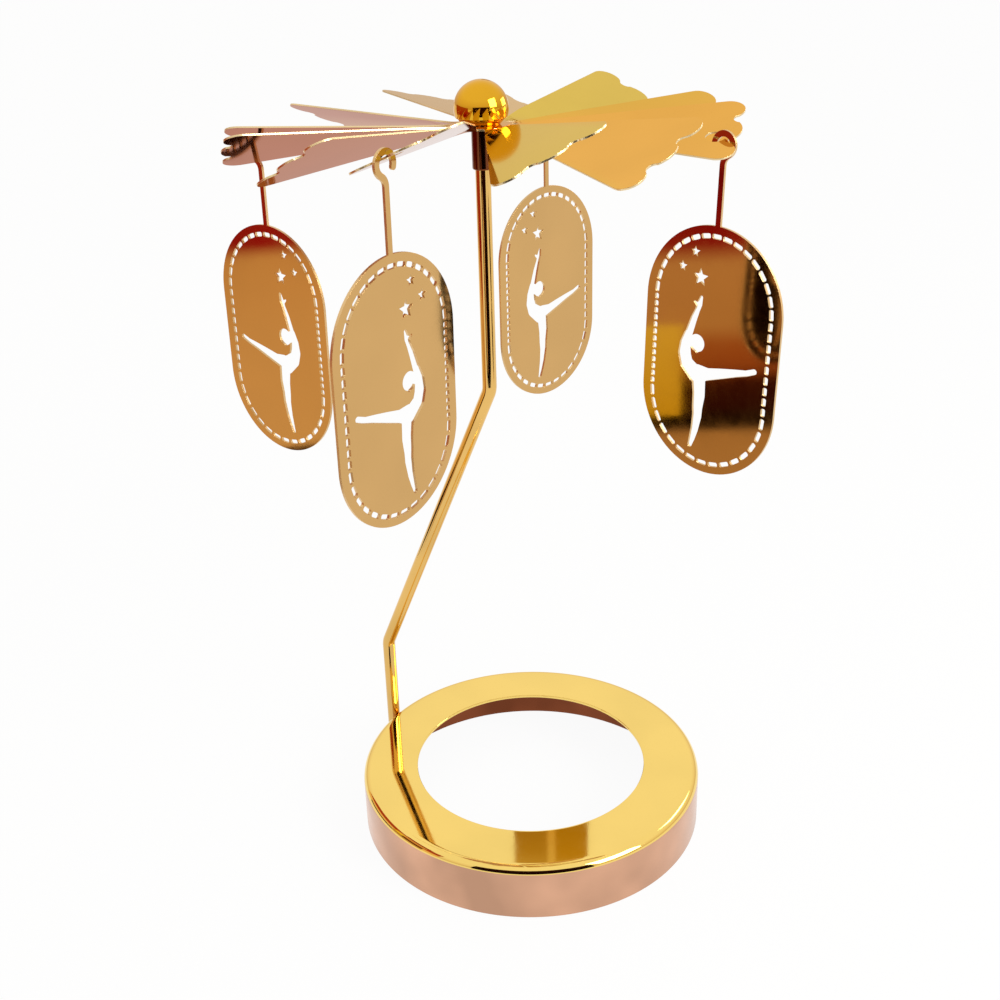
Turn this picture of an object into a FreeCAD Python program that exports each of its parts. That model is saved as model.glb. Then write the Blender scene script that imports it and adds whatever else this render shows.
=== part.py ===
import FreeCAD, Part
import math
import os
from FreeCAD import Matrix, Placement, Rotation, Vector

os.makedirs("parts", exist_ok=True)

# Candle ring, a pressed sheet ring that stands on its skirt (mm)
ring_outer_d = 65.0
candle_hole_d = 44.0
ring_height = 10.6
ring_sheet = 0.5
ring_shoulder_r = 1.6

# Bent support rod, brazed to the outside of the skirt
rod_d = 2.5
rod_foot_azimuth = 147.0
rod_foot_lift = 0.4
rod_lower_bend_z = 26.7
rod_upper_bend_z = 86.0
rod_bend_r = 4.0
rod_point_length = 7.0
rod_point_flat_d = 0.2
braze_gap = 0.1
braze_bead_r = 1.2
braze_bead_length = 6.4

# Rotor axis, which lies off the ring's axis, and the height of the rotor sheet
rotor_axis_x = -5.84
rotor_axis_y = 2.54
rotor_z = 130.6
rotor_sheet = 0.3
rotor_disc_r = 4.9

# Blades: a wedge that twists near its root and ends in three lobes
blade_count = 12
first_blade_azimuth = 285.0
blade_pitch = 23.7
root_r = 5.3
root_half_width = 0.8
twist_end_r = 11.0
twist_end_half_width = 2.2
tip_half_width = 8.7
middle_lobe_reach = 41.1
side_lobe_reach = 40.8
side_lobe_r = 2.55
valley_depth = 1.4
valley_v = 3.15
valley_inner_drop = 0.7
valley_inner_v = 2.2
valley_outer_v = 4.3

# Each blade was bent by hand, so its twist, lift and azimuth differ a little (degrees)
blade_twist_errors = (0.3, 2.5, -3.7, 0.6, -0.4, -0.4, -12.3, -1.4, 1.1, -0.4, 3.5, -0.3)
blade_lifts = (2.5, 0.0, 0.0, -1.8, 0.7, -4.3, -0.5, -3.1, -4.2, -1.9, -0.2, 4.2)
blade_azimuth_errors = (-0.2, -4.3, -0.6, -3.5, 2.1, 2.4, 1.2, 1.0, 5.2, 0.7, 4.0, 1.2)

# Hook holes in every third blade, and how far a hook's centre lies below the sheet
hook_hole_r = 1.5
hook_hole_reach = 37.35
hook_hole_v = -2.35
hook_seat_drop = 0.75

# Hub: a turned sleeve over the rod's point, and the knob on its spigot
sleeve_outer_d = 3.4
sleeve_length = 6.7
sleeve_edge_share = 0.9
rod_clearance = 0.1
spigot_d = 2.8
spigot_rise = 2.3
spigot_bore_d = 2.0
spigot_bore_drop = 1.2
hub_clearance = 0.02
knob_d = 8.8
knob_rise = 7.1
knob_band_drop = 1.45
knob_base_r = 4.05
knob_collar_r = 3.75
knob_foot_r = 2.95
knob_dimple_r = 0.8
knob_dimple_rise = 0.8
point_gap = 0.15

# Charms: plate, stem and hook cut from one flat sheet
charm_sheet = 0.45
plate_length = 41.4
plate_width = 26.2
strip_width = 0.95
hook_outer_d = 4.4
hook_free_end_angle = 200.0
charm_drop = 14.5

# Each charm's blade, its azimuth, its swing and lean at rest (degrees), and where its
# hook sits on the flat blade
charm_places = {
    "charm_front_left": (11, 234.1, -1.8, 1.9, 38.9, -3.15),
    "charm_left": (8, 141.1, 0.6, 0.0, 38.8, -2.9),
    "charm_back_right": (5, 45.4, 0.0, 0.0, 38.8, -2.8),
    "charm_right": (2, 315.2, -1.9, 0.0, 38.85, -2.93),
}

# Stitched border of slots: how many and how long over the top, down the back, round the
# bottom and up the front
dash_rows = ((17, 1.75), (13, 0.95), (15, 1.9), (9, 1.35))
dash_width = 0.8
dash_corner = 0.18
dash_side_inset = 1.95
dash_end_inset = 1.65

# Stars: centre as shares of the plate's half width and length, radius as a share of
# the big star's
big_star_r = 1.55
star_inner_share = 0.45
star_shares = ((-0.200, 0.207, 1.0), (-0.477, 0.178, 0.6), (-0.298, 0.112, 0.6))

# Dancer: chains of discs, each with its place as shares of the plate's half width
# and length and its radius as a share of the head's radius
head_r = 1.5
head_shares = (-0.190, 0.470)
arm_shares = (
    (-0.325, 0.443, 0.50),
    (-0.262, 0.377, 0.42),
    (-0.213, 0.337, 0.32),
    (-0.188, 0.312, 0.36),
    (-0.165, 0.284, 0.20),
)
thumb_shares = ((-0.205, 0.320, 0.24), (-0.262, 0.306, 0.13))
torso_shares = (
    (-0.333, 0.448, 0.57),
    (-0.367, 0.487, 0.72),
    (-0.368, 0.527, 0.87),
    (-0.330, 0.563, 0.90),
    (-0.185, 0.597, 1.05),
)
standing_leg_shares = (
    (-0.130, 0.607, 0.92),
    (-0.110, 0.678, 0.82),
    (-0.120, 0.732, 0.69),
    (-0.117, 0.768, 0.62),
    (-0.142, 0.829, 0.49),
    (-0.170, 0.867, 0.40),
    (-0.200, 0.902, 0.28),
)
raised_leg_shares = (
    (-0.140, 0.590, 0.98),
    (0.013, 0.583, 0.68),
    (0.207, 0.565, 0.57),
    (0.405, 0.547, 0.43),
    (0.567, 0.534, 0.33),
    (0.680, 0.519, 0.31),
)
chin_shares = ((-0.190, 0.479, 0.57), (-0.185, 0.504, 0.19))

full_turn = 360.0
up = Vector(0, 0, 1)
ring_outer_r = ring_outer_d / 2
rod_r = rod_d / 2
rod_foot_r = ring_outer_r + braze_gap + rod_r
rotor_top_z = rotor_z + rotor_sheet / 2
rotor_bottom_z = rotor_z - rotor_sheet / 2
rod_point_z = rotor_top_z + spigot_rise + knob_dimple_rise - point_gap


def on_circle(radius, azimuth, z=0.0):
    """Point at a radius and an azimuth in degrees about the ring's axis."""
    turn = math.radians(azimuth)
    return Vector(radius * math.cos(turn), radius * math.sin(turn), z)


def profile_edges(points):
    """Edges through a list of points; a pair (middle, end) makes an arc."""
    edges = []
    here = points[0]
    for step in points[1:]:
        if isinstance(step, tuple):
            edges.append(Part.Arc(here, step[0], step[1]).toShape())
            here = step[1]
        else:
            edges.append(Part.LineSegment(here, step).toShape())
            here = step
    return edges


def face_of(points):
    """Flat face bounded by the closed outline that the points describe."""
    return Part.Face(Part.Wire(profile_edges(points)))


def revolved(points):
    """Solid of revolution about Z from an outline in the XZ plane."""
    return face_of(points).revolve(Vector(0, 0, 0), up, full_turn)


def save(name, shape):
    """Write one piece to its own file."""
    shape.exportStep("parts/" + name + ".step")
    box = shape.BoundBox
    print(name, len(shape.Solids), shape.isValid(), round(shape.Volume, 2),
          [round(v, 2) for v in (box.XMin, box.YMin, box.ZMin, box.XMax, box.YMax, box.ZMax)])


def base_ring():
    """Pressed ring: flat top with the candle hole, rounded shoulder, plain skirt."""
    inner = ring_shoulder_r - ring_sheet
    centre = Vector(ring_outer_r - ring_shoulder_r, 0, ring_height - ring_shoulder_r)
    slant = Vector(1, 0, 1).normalize()
    hole_r = candle_hole_d / 2
    skirt_in_r = ring_outer_r - ring_sheet
    underside = ring_height - ring_sheet
    return revolved([
        Vector(ring_outer_r, 0, 0),
        Vector(ring_outer_r, 0, centre.z),
        (centre + slant * ring_shoulder_r, Vector(centre.x, 0, ring_height)),
        Vector(hole_r, 0, ring_height),
        Vector(hole_r, 0, underside),
        Vector(centre.x, 0, underside),
        (centre + slant * inner, Vector(skirt_in_r, 0, centre.z)),
        Vector(skirt_in_r, 0, 0),
        Vector(ring_outer_r, 0, 0),
    ])


def rounded_path(points, radius):
    """Wire of straight runs joined by tangent arcs of one radius."""
    steps = [points[0]]
    for before, corner, after in zip(points, points[1:], points[2:]):
        back = (before - corner).normalize()
        ahead = (after - corner).normalize()
        half_turn = (math.pi - back.getAngle(ahead)) / 2
        reach = radius * math.tan(half_turn)
        bisector = (back + ahead).normalize()
        middle = corner + bisector * (radius / math.cos(half_turn) - radius)
        steps.append(corner + back * reach)
        steps.append((middle, corner + ahead * reach))
    steps.append(points[-1])
    return Part.Wire(profile_edges(steps))


def support_rod():
    """Round rod from the skirt up to its point on the rotor axis."""
    foot = on_circle(rod_foot_r, rod_foot_azimuth, rod_foot_lift)
    point_base_z = rod_point_z - rod_point_length
    path = rounded_path([
        foot,
        on_circle(rod_foot_r, rod_foot_azimuth, rod_lower_bend_z),
        Vector(rotor_axis_x, rotor_axis_y, rod_upper_bend_z),
        Vector(rotor_axis_x, rotor_axis_y, point_base_z),
    ], rod_bend_r)
    section = Part.Wire(Part.makeCircle(rod_r, foot, up))
    rod = path.makePipeShell([section], True, False)
    point = Part.makeCone(rod_r, rod_point_flat_d / 2, rod_point_length,
                          Vector(rotor_axis_x, rotor_axis_y, point_base_z), up)
    return rod.fuse(point).removeSplitter()


def braze_bead():
    """Bead of filler that fills the narrow valley between the rod and the skirt."""
    bottom_z = (ring_height - ring_shoulder_r - braze_bead_length) / 2
    seam = on_circle(ring_outer_r + braze_gap / 2, rod_foot_azimuth, bottom_z)
    bead = Part.makeCylinder(braze_bead_r, braze_bead_length, seam, up)
    skirt = Part.makeCylinder(ring_outer_r, ring_height)
    rod = Part.makeCylinder(rod_r, ring_height, on_circle(rod_foot_r, rod_foot_azimuth), up)
    return bead.cut(skirt).cut(rod)


def blade_azimuth(index):
    """Azimuth of a blade as it was bent, in degrees."""
    return first_blade_azimuth + index * full_turn / blade_count + blade_azimuth_errors[index]


def blade_directions(index, pitch):
    """Outward, crosswise and normal directions of a blade, for a given pitch."""
    turn = math.radians(blade_azimuth(index))
    lift = math.radians(blade_lifts[index])
    twist = math.radians(pitch)
    radial = Vector(math.cos(turn), math.sin(turn), 0)
    tangent = Vector(-math.sin(turn), math.cos(turn), 0)
    outward = radial * math.cos(lift) + up * math.sin(lift)
    upward = up * math.cos(lift) - radial * math.sin(lift)
    crosswise = tangent * math.cos(twist) + upward * math.sin(twist)
    return outward, crosswise, outward.cross(crosswise)


def blade_placement(index, pitch):
    """Placement that carries the flat blade drawing to where the blade is."""
    outward, crosswise, normal = blade_directions(index, pitch)
    return Placement(Matrix(
        outward.x, crosswise.x, normal.x, rotor_axis_x,
        outward.y, crosswise.y, normal.y, rotor_axis_y,
        outward.z, crosswise.z, normal.z, rotor_z,
        0, 0, 0, 1,
    ))


def blade_pitch_of(index):
    """Pitch of a blade as it was bent, in degrees."""
    return blade_pitch + blade_twist_errors[index]


def lobe_side(sign):
    """Centre, tangent point, outermost point and valley end of a side lobe."""
    centre = Vector(side_lobe_reach - side_lobe_r, tip_half_width - side_lobe_r, 0)
    root = Vector(twist_end_r, twist_end_half_width, 0)
    run = centre - root
    swing = math.acos(side_lobe_r / run.Length)
    toward_root = math.atan2(-run.y, -run.x)
    tangent_turn = toward_root - swing
    tangent = centre + Vector(math.cos(tangent_turn), math.sin(tangent_turn), 0) * side_lobe_r
    slant = Vector(1, 1, 0).normalize()
    corner = centre + slant * side_lobe_r
    inward = valley_outer_v - centre.y
    valley_end = centre + Vector(math.sqrt(side_lobe_r ** 2 - inward ** 2), inward, 0)
    points = (tangent, corner, valley_end)
    return [Vector(p.x, sign * p.y, 0) for p in points]


def flat_blade(with_hole):
    """Blade drawn flat, outward along X, from the end of its twist to its lobes."""
    valley_r = side_lobe_reach - valley_depth
    inner_r = middle_lobe_reach - valley_inner_drop
    low_tangent, low_corner, low_valley = lobe_side(-1)
    high_tangent, high_corner, high_valley = lobe_side(1)
    outline = face_of([
        Vector(twist_end_r, -twist_end_half_width, 0),
        low_tangent,
        (low_corner, low_valley),
        (Vector(valley_r, -valley_v, 0), Vector(inner_r, -valley_inner_v, 0)),
        (Vector(middle_lobe_reach, 0, 0), Vector(inner_r, valley_inner_v, 0)),
        (Vector(valley_r, valley_v, 0), high_valley),
        (high_corner, high_tangent),
        Vector(twist_end_r, twist_end_half_width, 0),
        Vector(twist_end_r, -twist_end_half_width, 0),
    ])
    outline.translate(Vector(0, 0, -rotor_sheet / 2))
    blade = outline.extrude(Vector(0, 0, rotor_sheet))
    if with_hole:
        centre = Vector(hook_hole_reach, hook_hole_v, -rotor_sheet)
        blade = blade.cut(Part.makeCylinder(hook_hole_r, rotor_sheet * 2, centre, up))
    return blade


def strip_section(radius, half_width):
    """Upright rectangle across a blade, at a radius of the flat drawing."""
    half = rotor_sheet / 2
    corners = [
        Vector(radius, -half_width, -half),
        Vector(radius, half_width, -half),
        Vector(radius, half_width, half),
        Vector(radius, -half_width, half),
    ]
    return Part.makePolygon(corners + corners[:1])


def twisted_root(index):
    """Root of a blade: a flat tab on the disc, then a twist to the blade's pitch."""
    start = strip_section(root_r, root_half_width)
    nominal = first_blade_azimuth + index * full_turn / blade_count
    start.Placement = Placement(Vector(rotor_axis_x, rotor_axis_y, rotor_z),
                                Rotation(up, nominal))
    end = strip_section(twist_end_r, twist_end_half_width)
    end.Placement = blade_placement(index, blade_pitch_of(index))
    tab_length = root_r - rotor_disc_r + root_half_width
    tab = Part.makeBox(tab_length, root_half_width * 2, rotor_sheet,
                       Vector(root_r - tab_length, -root_half_width, -rotor_sheet / 2))
    tab.Placement = start.Placement
    return [tab, Part.makeLoft([start, end], True, True)]


def rotor_plate():
    """Fan wheel cut from one sheet: a disc with twelve twisted blades."""
    hole_r = spigot_d / 2 + hub_clearance
    centre = Vector(rotor_axis_x, rotor_axis_y, rotor_bottom_z)
    wheel = Part.makeCylinder(rotor_disc_r, rotor_sheet, centre, up)
    wheel = wheel.cut(Part.makeCylinder(hole_r, rotor_sheet, centre, up))
    hooked = [place[0] for place in charm_places.values()]
    pieces = []
    for index in range(blade_count):
        blade = flat_blade(index in hooked)
        blade.Placement = blade_placement(index, blade_pitch_of(index))
        pieces.extend(twisted_root(index) + [blade])
    return wheel.multiFuse(pieces)


def on_rotor_axis(shape):
    """Move a turned piece, drawn about the origin, to the rotor axis and height."""
    shape.translate(Vector(rotor_axis_x, rotor_axis_y, rotor_z))
    return shape


def hub_sleeve():
    """Turned sleeve below the plate, with the spigot that carries plate and knob."""
    outer = sleeve_outer_d / 2
    bore = rod_r + rod_clearance
    spigot = spigot_d / 2
    spigot_bore = spigot_bore_d / 2
    under = -rotor_sheet / 2
    bottom = under - sleeve_length
    edge_r = (outer - bore) * sleeve_edge_share
    slant = Vector(1, 0, -1).normalize()
    edge_centre = Vector(outer - edge_r, 0, bottom + edge_r)
    return on_rotor_axis(revolved([
        Vector(bore, 0, bottom),
        Vector(outer - edge_r, 0, bottom),
        (edge_centre + slant * edge_r, Vector(outer, 0, bottom + edge_r)),
        Vector(outer, 0, under),
        Vector(spigot, 0, under),
        Vector(spigot, 0, rotor_sheet / 2 + spigot_rise),
        Vector(spigot_bore, 0, rotor_sheet / 2 + spigot_rise),
        Vector(spigot_bore, 0, under - spigot_bore_drop),
        Vector(bore, 0, under - spigot_bore_drop),
        Vector(bore, 0, bottom),
    ]))


def knob():
    """Domed knob on a short band, bored for the spigot and dimpled for the point."""
    dome_r = knob_d / 2
    dome_z = knob_rise - dome_r
    seat = rotor_sheet / 2
    bore = spigot_d / 2 + hub_clearance
    ceiling = seat + spigot_rise
    band_z = dome_z - knob_band_drop
    slant = Vector(1, 0, 1).normalize()
    return on_rotor_axis(revolved([
        Vector(knob_foot_r, 0, seat),
        Vector(knob_collar_r, 0, band_z),
        Vector(knob_base_r, 0, band_z),
        Vector(dome_r, 0, dome_z),
        (Vector(0, 0, dome_z) + slant * dome_r, Vector(0, 0, knob_rise)),
        Vector(0, 0, ceiling + knob_dimple_rise),
        Vector(knob_dimple_r, 0, ceiling),
        Vector(bore, 0, ceiling),
        Vector(bore, 0, seat),
        Vector(knob_foot_r, 0, seat),
    ]))


def in_charm(u, w):
    """Point of the charm drawing: u across the plate, w up from the hook's centre."""
    return Vector(u, 0, w)


def polar(radius, degrees, centre=Vector(0, 0, 0)):
    """Point of the charm drawing at an angle about a centre."""
    turn = math.radians(degrees)
    return centre + in_charm(radius * math.cos(turn), radius * math.sin(turn))


def hook_strip(plate_top):
    """Question-mark hook and stem as one strip of even width."""
    half = strip_width / 2
    middle_r = hook_outer_d / 2 - half
    bend_r = middle_r
    meet = math.degrees(math.acos(bend_r / (middle_r + bend_r)))
    bend_centre = polar(middle_r + bend_r, -meet)
    tip = polar(middle_r, hook_free_end_angle)
    tip_out = polar(half, hook_free_end_angle + 90, tip)
    overlap = strip_width
    return face_of([
        polar(middle_r + half, hook_free_end_angle),
        (polar(middle_r + half, 90), polar(middle_r + half, -meet)),
        (polar(bend_r - half, 180 - meet / 2, bend_centre), in_charm(half, bend_centre.z)),
        in_charm(half, plate_top - overlap),
        in_charm(-half, plate_top - overlap),
        in_charm(-half, bend_centre.z),
        (polar(bend_r + half, 180 - meet / 2, bend_centre), polar(middle_r - half, -meet)),
        (polar(middle_r - half, 90), polar(middle_r - half, hook_free_end_angle)),
        (tip_out, polar(middle_r + half, hook_free_end_angle)),
    ])


def stadium(width, length, top):
    """Upright stadium outline with its top at a height of the drawing."""
    radius = width / 2
    upper = in_charm(0, top - radius)
    lower = in_charm(0, top - length + radius)
    return face_of([
        polar(radius, 0, upper),
        (polar(radius, 90, upper), polar(radius, 180, upper)),
        polar(radius, 180, lower),
        (polar(radius, 270, lower), polar(radius, 0, lower)),
        polar(radius, 0, upper),
    ])


def dash_face(centre, angle, length):
    """One slot of the stitched border, with its corners cut off."""
    along = polar(length / 2, angle + 90)
    across = polar(dash_width / 2, angle)
    short = along * (1 - 2 * dash_corner / length)
    narrow = across * (1 - 2 * dash_corner / dash_width)
    quarter = [short + across, along + narrow, along - narrow, short - across]
    points = [centre + step for step in quarter] + [centre - step for step in quarter]
    return Part.Face(Part.makePolygon(points + points[:1]))


def dash_faces(plate_top):
    """Slots of the stitched border, an even row on each arc and each side."""
    radius = plate_width / 2 - dash_side_inset
    top = plate_top - dash_end_inset
    straight = plate_length - 2 * dash_end_inset - 2 * radius
    upper = in_charm(0, top - radius)
    lower = in_charm(0, top - radius - straight)
    faces = []
    for row, (count, length) in enumerate(dash_rows):
        start = 180.0 if row in (1, 2) else 0.0
        for index in range(count):
            share = (index + 0.5) / count
            if row in (0, 2):
                angle = start + 180.0 * share
                centre = polar(radius, angle, upper if row == 0 else lower)
            else:
                angle = start
                centre = polar(radius, angle, lower + (upper - lower) * share)
            faces.append(dash_face(centre, angle, length))
    return faces


def plate_point(across_share, down_share, plate_top):
    """Place on the plate from shares of its half width and its length."""
    return in_charm(across_share * plate_width / 2, plate_top - down_share * plate_length)


def star_face(centre, radius):
    """Five-pointed star, one point up."""
    points = []
    for index in range(10):
        reach = radius if index % 2 == 0 else radius * star_inner_share
        points.append(polar(reach, 90 + index * 36, centre))
    return Part.Face(Part.makePolygon(points + points[:1]))


def limb_face(start, start_r, end, end_r):
    """Hull of two discs: a tapered limb with round ends."""
    run = end - start
    heading = math.degrees(math.atan2(run.z, run.x))
    spread = math.degrees(math.acos((start_r - end_r) / run.Length))
    return face_of([
        polar(start_r, heading + spread, start),
        (polar(start_r, heading + 180, start), polar(start_r, heading - spread, start)),
        polar(end_r, heading - spread, end),
        (polar(end_r, heading, end), polar(end_r, heading + spread, end)),
        polar(start_r, heading + spread, start),
    ])


def dancer_face(plate_top):
    """Dancer with an arched back, one arm and one leg raised, as one outline."""
    limbs = []
    chains = (arm_shares, thumb_shares, torso_shares, standing_leg_shares, raised_leg_shares, chin_shares)
    for chain in chains:
        for (u0, w0, r0), (u1, w1, r1) in zip(chain, chain[1:]):
            start = plate_point(u0, w0, plate_top)
            end = plate_point(u1, w1, plate_top)
            limbs.append(limb_face(start, r0 * head_r, end, r1 * head_r))
    across_share, down_share = head_shares
    head_centre = plate_point(across_share, down_share, plate_top)
    head = Part.Face(Part.Wire(Part.makeCircle(head_r, head_centre, Vector(0, 1, 0))))
    return head.multiFuse(limbs).removeSplitter()


def cutter(face):
    """Solid that cuts one opening right through the charm."""
    deep = face.copy()
    deep.translate(Vector(0, -charm_sheet, 0))
    return deep.extrude(Vector(0, 2 * charm_sheet, 0))


def flat_charm():
    """Charm about its hook's centre, in the XZ plane, with its openings."""
    plate_top = hook_outer_d / 2 - charm_drop
    plate = stadium(plate_width, plate_length, plate_top)
    strip = hook_strip(plate_top)
    through = Vector(0, charm_sheet, 0)
    solid = plate.extrude(through).fuse(strip.extrude(through)).removeSplitter()
    solid.translate(through / -2)
    openings = dash_faces(plate_top)
    for across_share, down_share, radius_share in star_shares:
        centre = plate_point(across_share, down_share, plate_top)
        openings.append(star_face(centre, radius_share * big_star_r))
    openings.append(dancer_face(plate_top))
    return solid.cut([cutter(face) for face in openings])


def hook_centre(index, seat_reach, seat_v):
    """Centre of the hook that hangs at a place on a blade."""
    outward, crosswise, normal = blade_directions(index, blade_pitch_of(index))
    centre = Vector(rotor_axis_x, rotor_axis_y, rotor_z)
    return centre + outward * seat_reach + crosswise * seat_v - up * hook_seat_drop


save("base_ring", base_ring())
save("support_rod", support_rod())
save("braze_bead", braze_bead())
save("rotor_plate", rotor_plate())
save("hub_sleeve", hub_sleeve())
save("knob", knob())
charm_drawing = flat_charm()
for charm_name, (blade_index, charm_azimuth, swing, lean, seat_reach, seat_v) in charm_places.items():
    charm = charm_drawing.copy()
    seat = hook_centre(blade_index, seat_reach, seat_v)
    in_plane = Rotation(Vector(1, 0, 0), -lean).multiply(Rotation(Vector(0, -1, 0), swing))
    charm.Placement = Placement(seat, Rotation(up, charm_azimuth).multiply(in_plane))
    save(charm_name, charm)
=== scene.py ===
import math

import bmesh
import bpy
from bpy.props import FloatProperty, FloatVectorProperty, IntProperty, PointerProperty
from mathutils import Matrix, Vector


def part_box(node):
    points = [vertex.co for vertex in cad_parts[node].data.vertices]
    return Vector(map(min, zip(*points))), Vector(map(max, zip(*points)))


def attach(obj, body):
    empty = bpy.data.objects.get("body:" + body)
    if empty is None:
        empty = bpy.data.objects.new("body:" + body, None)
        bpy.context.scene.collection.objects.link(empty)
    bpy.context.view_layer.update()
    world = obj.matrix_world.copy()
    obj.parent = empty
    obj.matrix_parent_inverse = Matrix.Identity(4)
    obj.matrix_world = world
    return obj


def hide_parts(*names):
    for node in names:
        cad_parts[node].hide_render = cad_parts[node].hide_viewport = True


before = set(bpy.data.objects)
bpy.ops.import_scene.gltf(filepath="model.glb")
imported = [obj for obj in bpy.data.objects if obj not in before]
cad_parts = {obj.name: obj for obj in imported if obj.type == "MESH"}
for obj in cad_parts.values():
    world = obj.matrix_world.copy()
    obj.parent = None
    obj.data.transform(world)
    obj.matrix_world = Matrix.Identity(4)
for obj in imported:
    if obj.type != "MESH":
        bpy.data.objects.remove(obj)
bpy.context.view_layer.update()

bl_info = {
    "name": "Angel Chime Carousel",
    "version": (1, 0, 0),
    "blender": (4, 5, 0),
    "location": "View3D > Sidebar > Carousel",
    "description": "Builds a tealight carousel: ring, rod, blade wheel, knob and hanging charms",
    "category": "Add Mesh",
}

MM = 0.001
UP = Vector((0, 0, 1))
FULL_TURN = 2 * math.pi
# Points nearer than this are one point, in metres
TOUCH = 1e-7
# Curved faces shade smoothly up to this angle between them
SHARP_ANGLE = math.radians(18)
# The floor's half width and how far it lies below the ring, in metres
FLOOR_REACH = 8.0
FLOOR_DROP = 0.02 * MM
# How much of the floor's brightness is its own glow
GLOW_SHARE = 0.96
# The photograph is a square of this many pixels; the camera's place (metres) and its yaw,
# pitch and roll (degrees) are those that it was taken with
FRAME_PX = 1000
SENSOR_MM = 36.0
CAMERA_PLACE = (0, -0.21018, 0.16247)
CAMERA_TURN = (-1.236, 24.608, -1.612)

# How each blade was bent by hand: change of pitch, lift of the tip, turn (degrees)
BLADE_BENDS = (
    (0.3, 2.5, -0.2), (2.5, 0.0, -4.3), (-3.7, 0.0, -0.6), (0.6, -1.8, -3.5),
    (-0.4, 0.7, 2.1), (-0.4, -4.3, 2.4), (-12.3, -0.5, 1.2), (-1.4, -3.1, 1.0),
    (1.1, -4.2, 5.2), (-0.4, -1.9, 0.7), (3.5, -0.2, 4.0), (-0.3, 4.2, 1.2),
)
# Charms with the azimuth of their flat side's crosswise direction (degrees)
CHARM_YAWS = {
    "charm_front_left": 234.1,
    "charm_left": 141.1,
    "charm_back_right": 45.4,
    "charm_right": 315.2,
}
# The front left charm mirrors a few degrees aside, as if its plate were bent a little:
# its normal leans by this much
BENT_ASIDE = (-0.045, -0.058, 0)
# Blades that carry a charm have a hook hole
HOOKED_BLADES = (2, 5, 8, 11)
# Painted reflection: the blades' colour changes with azimuth around the wheel, rose at the left, yellow in
# front, orange at the right, pale behind, standing in for the surroundings they mirror
UPPER_PAINTED_REFLECTION_TONES = (
    (-180, "#D9A080"), (-105, "#DCC05A"), (-92, "#E2D060"), (-66, "#E2D060"),
    (-60, "#EBB25A"), (10, "#EBB052"), (25, "#E2B450"), (38, "#DCC05C"),
    (65, "#DCC05C"), (75, "#F0E2C0"), (110, "#EAD8B4"), (180, "#D9A080"),
)
# Painted reflection on the lower side: rose at the left, yellow in front, pale behind
LOWER_PAINTED_REFLECTION_TONES = (
    (-180, "#BE8472"), (-115, "#C08A70"), (-85, "#D4B454"), (-60, "#D6B658"),
    (60, "#EEDDB8"), (120, "#E8D6B0"), (140, "#BE8472"), (180, "#BE8472"),
)


def linear(hex_colour):
    """Turn an sRGB hex colour into the linear values that Blender works in."""
    channels = []
    for place in (1, 3, 5):
        value = int(hex_colour[place:place + 2], 16) / 255
        channels.append(value / 12.92 if value <= 0.04045 else ((value + 0.055) / 1.055) ** 2.4)
    return channels


def length(name, description, millimetres):
    """A length that the user can change, with its default in millimetres."""
    return FloatProperty(name=name, description=description, default=millimetres * MM,
                         min=0.0, unit="LENGTH", subtype="DISTANCE", precision=5)


def coordinate(name, description, millimetres):
    """A coordinate that the user can change, with its default in millimetres."""
    return FloatProperty(name=name, description=description, default=millimetres * MM,
                         unit="LENGTH", subtype="DISTANCE", precision=5)


def bearing(name, description, degrees):
    """An angle that the user can change, with its default in degrees."""
    return FloatProperty(name=name, description=description, default=math.radians(degrees),
                         subtype="ANGLE", unit="ROTATION")


def colour(name, description, hex_colour):
    """A colour that the user can change."""
    return FloatVectorProperty(name=name, description=description, size=3, min=0.0, max=1.0,
                               subtype="COLOR", default=linear(hex_colour))


class CarouselRing(bpy.types.PropertyGroup):
    """Sizes and colours of the candle ring."""
    outer_d: length("Outer diameter", "Across the skirt", 65.0)
    opening_d: length("Opening", "Diameter of the candle opening", 44.0)
    height: length("Height", "From the table to the flat top", 10.6)
    sheet: length("Sheet", "Thickness of the pressed sheet", 0.5)
    shoulder_r: length("Shoulder", "Radius between top and skirt", 1.6)
    top_colour: colour("Top colour", "Gold plate on the flat top", "#F8D678")
    # Inside the skirt the colour is darker: painted shade
    inner_shade_colour: colour("Inner colour", "Thin plate inside the skirt", "#8C4C30")
    # The skirt's rosier tone is painted reflection
    skirt_rose_reflection_colour: colour("Skirt colour", "Rosier plate on the skirt", "#DFAC8C")


class CarouselRod(bpy.types.PropertyGroup):
    """Sizes and colours of the bent rod."""
    rod_d: length("Rod", "Diameter of the wire", 2.5)
    lower_bend_z: length("Lower bend", "Height of the lower bend", 26.7)
    upper_bend_z: length("Upper bend", "Height of the upper bend", 86.0)
    bend_r: length("Bend radius", "Radius of both bends", 4.0)
    point_length: length("Point", "Length of the tapered point", 7.0)
    foot_azimuth: bearing("Foot azimuth", "Where on the ring the rod stands", 147.0)
    braze_gap: length("Gap", "Between skirt and rod, filled by the bead", 0.1)
    foot_edge: length("Foot edge", "Bevel at the foot", 0.15)
    rod_colour: colour("Rod colour", "Bright gold plate on wire", "#EBBE6E")


class CarouselBraze(bpy.types.PropertyGroup):
    """Colour of the bead between rod and skirt."""
    bead_colour: colour("Bead colour", "Filler that was plated over", "#C98F55")


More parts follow.
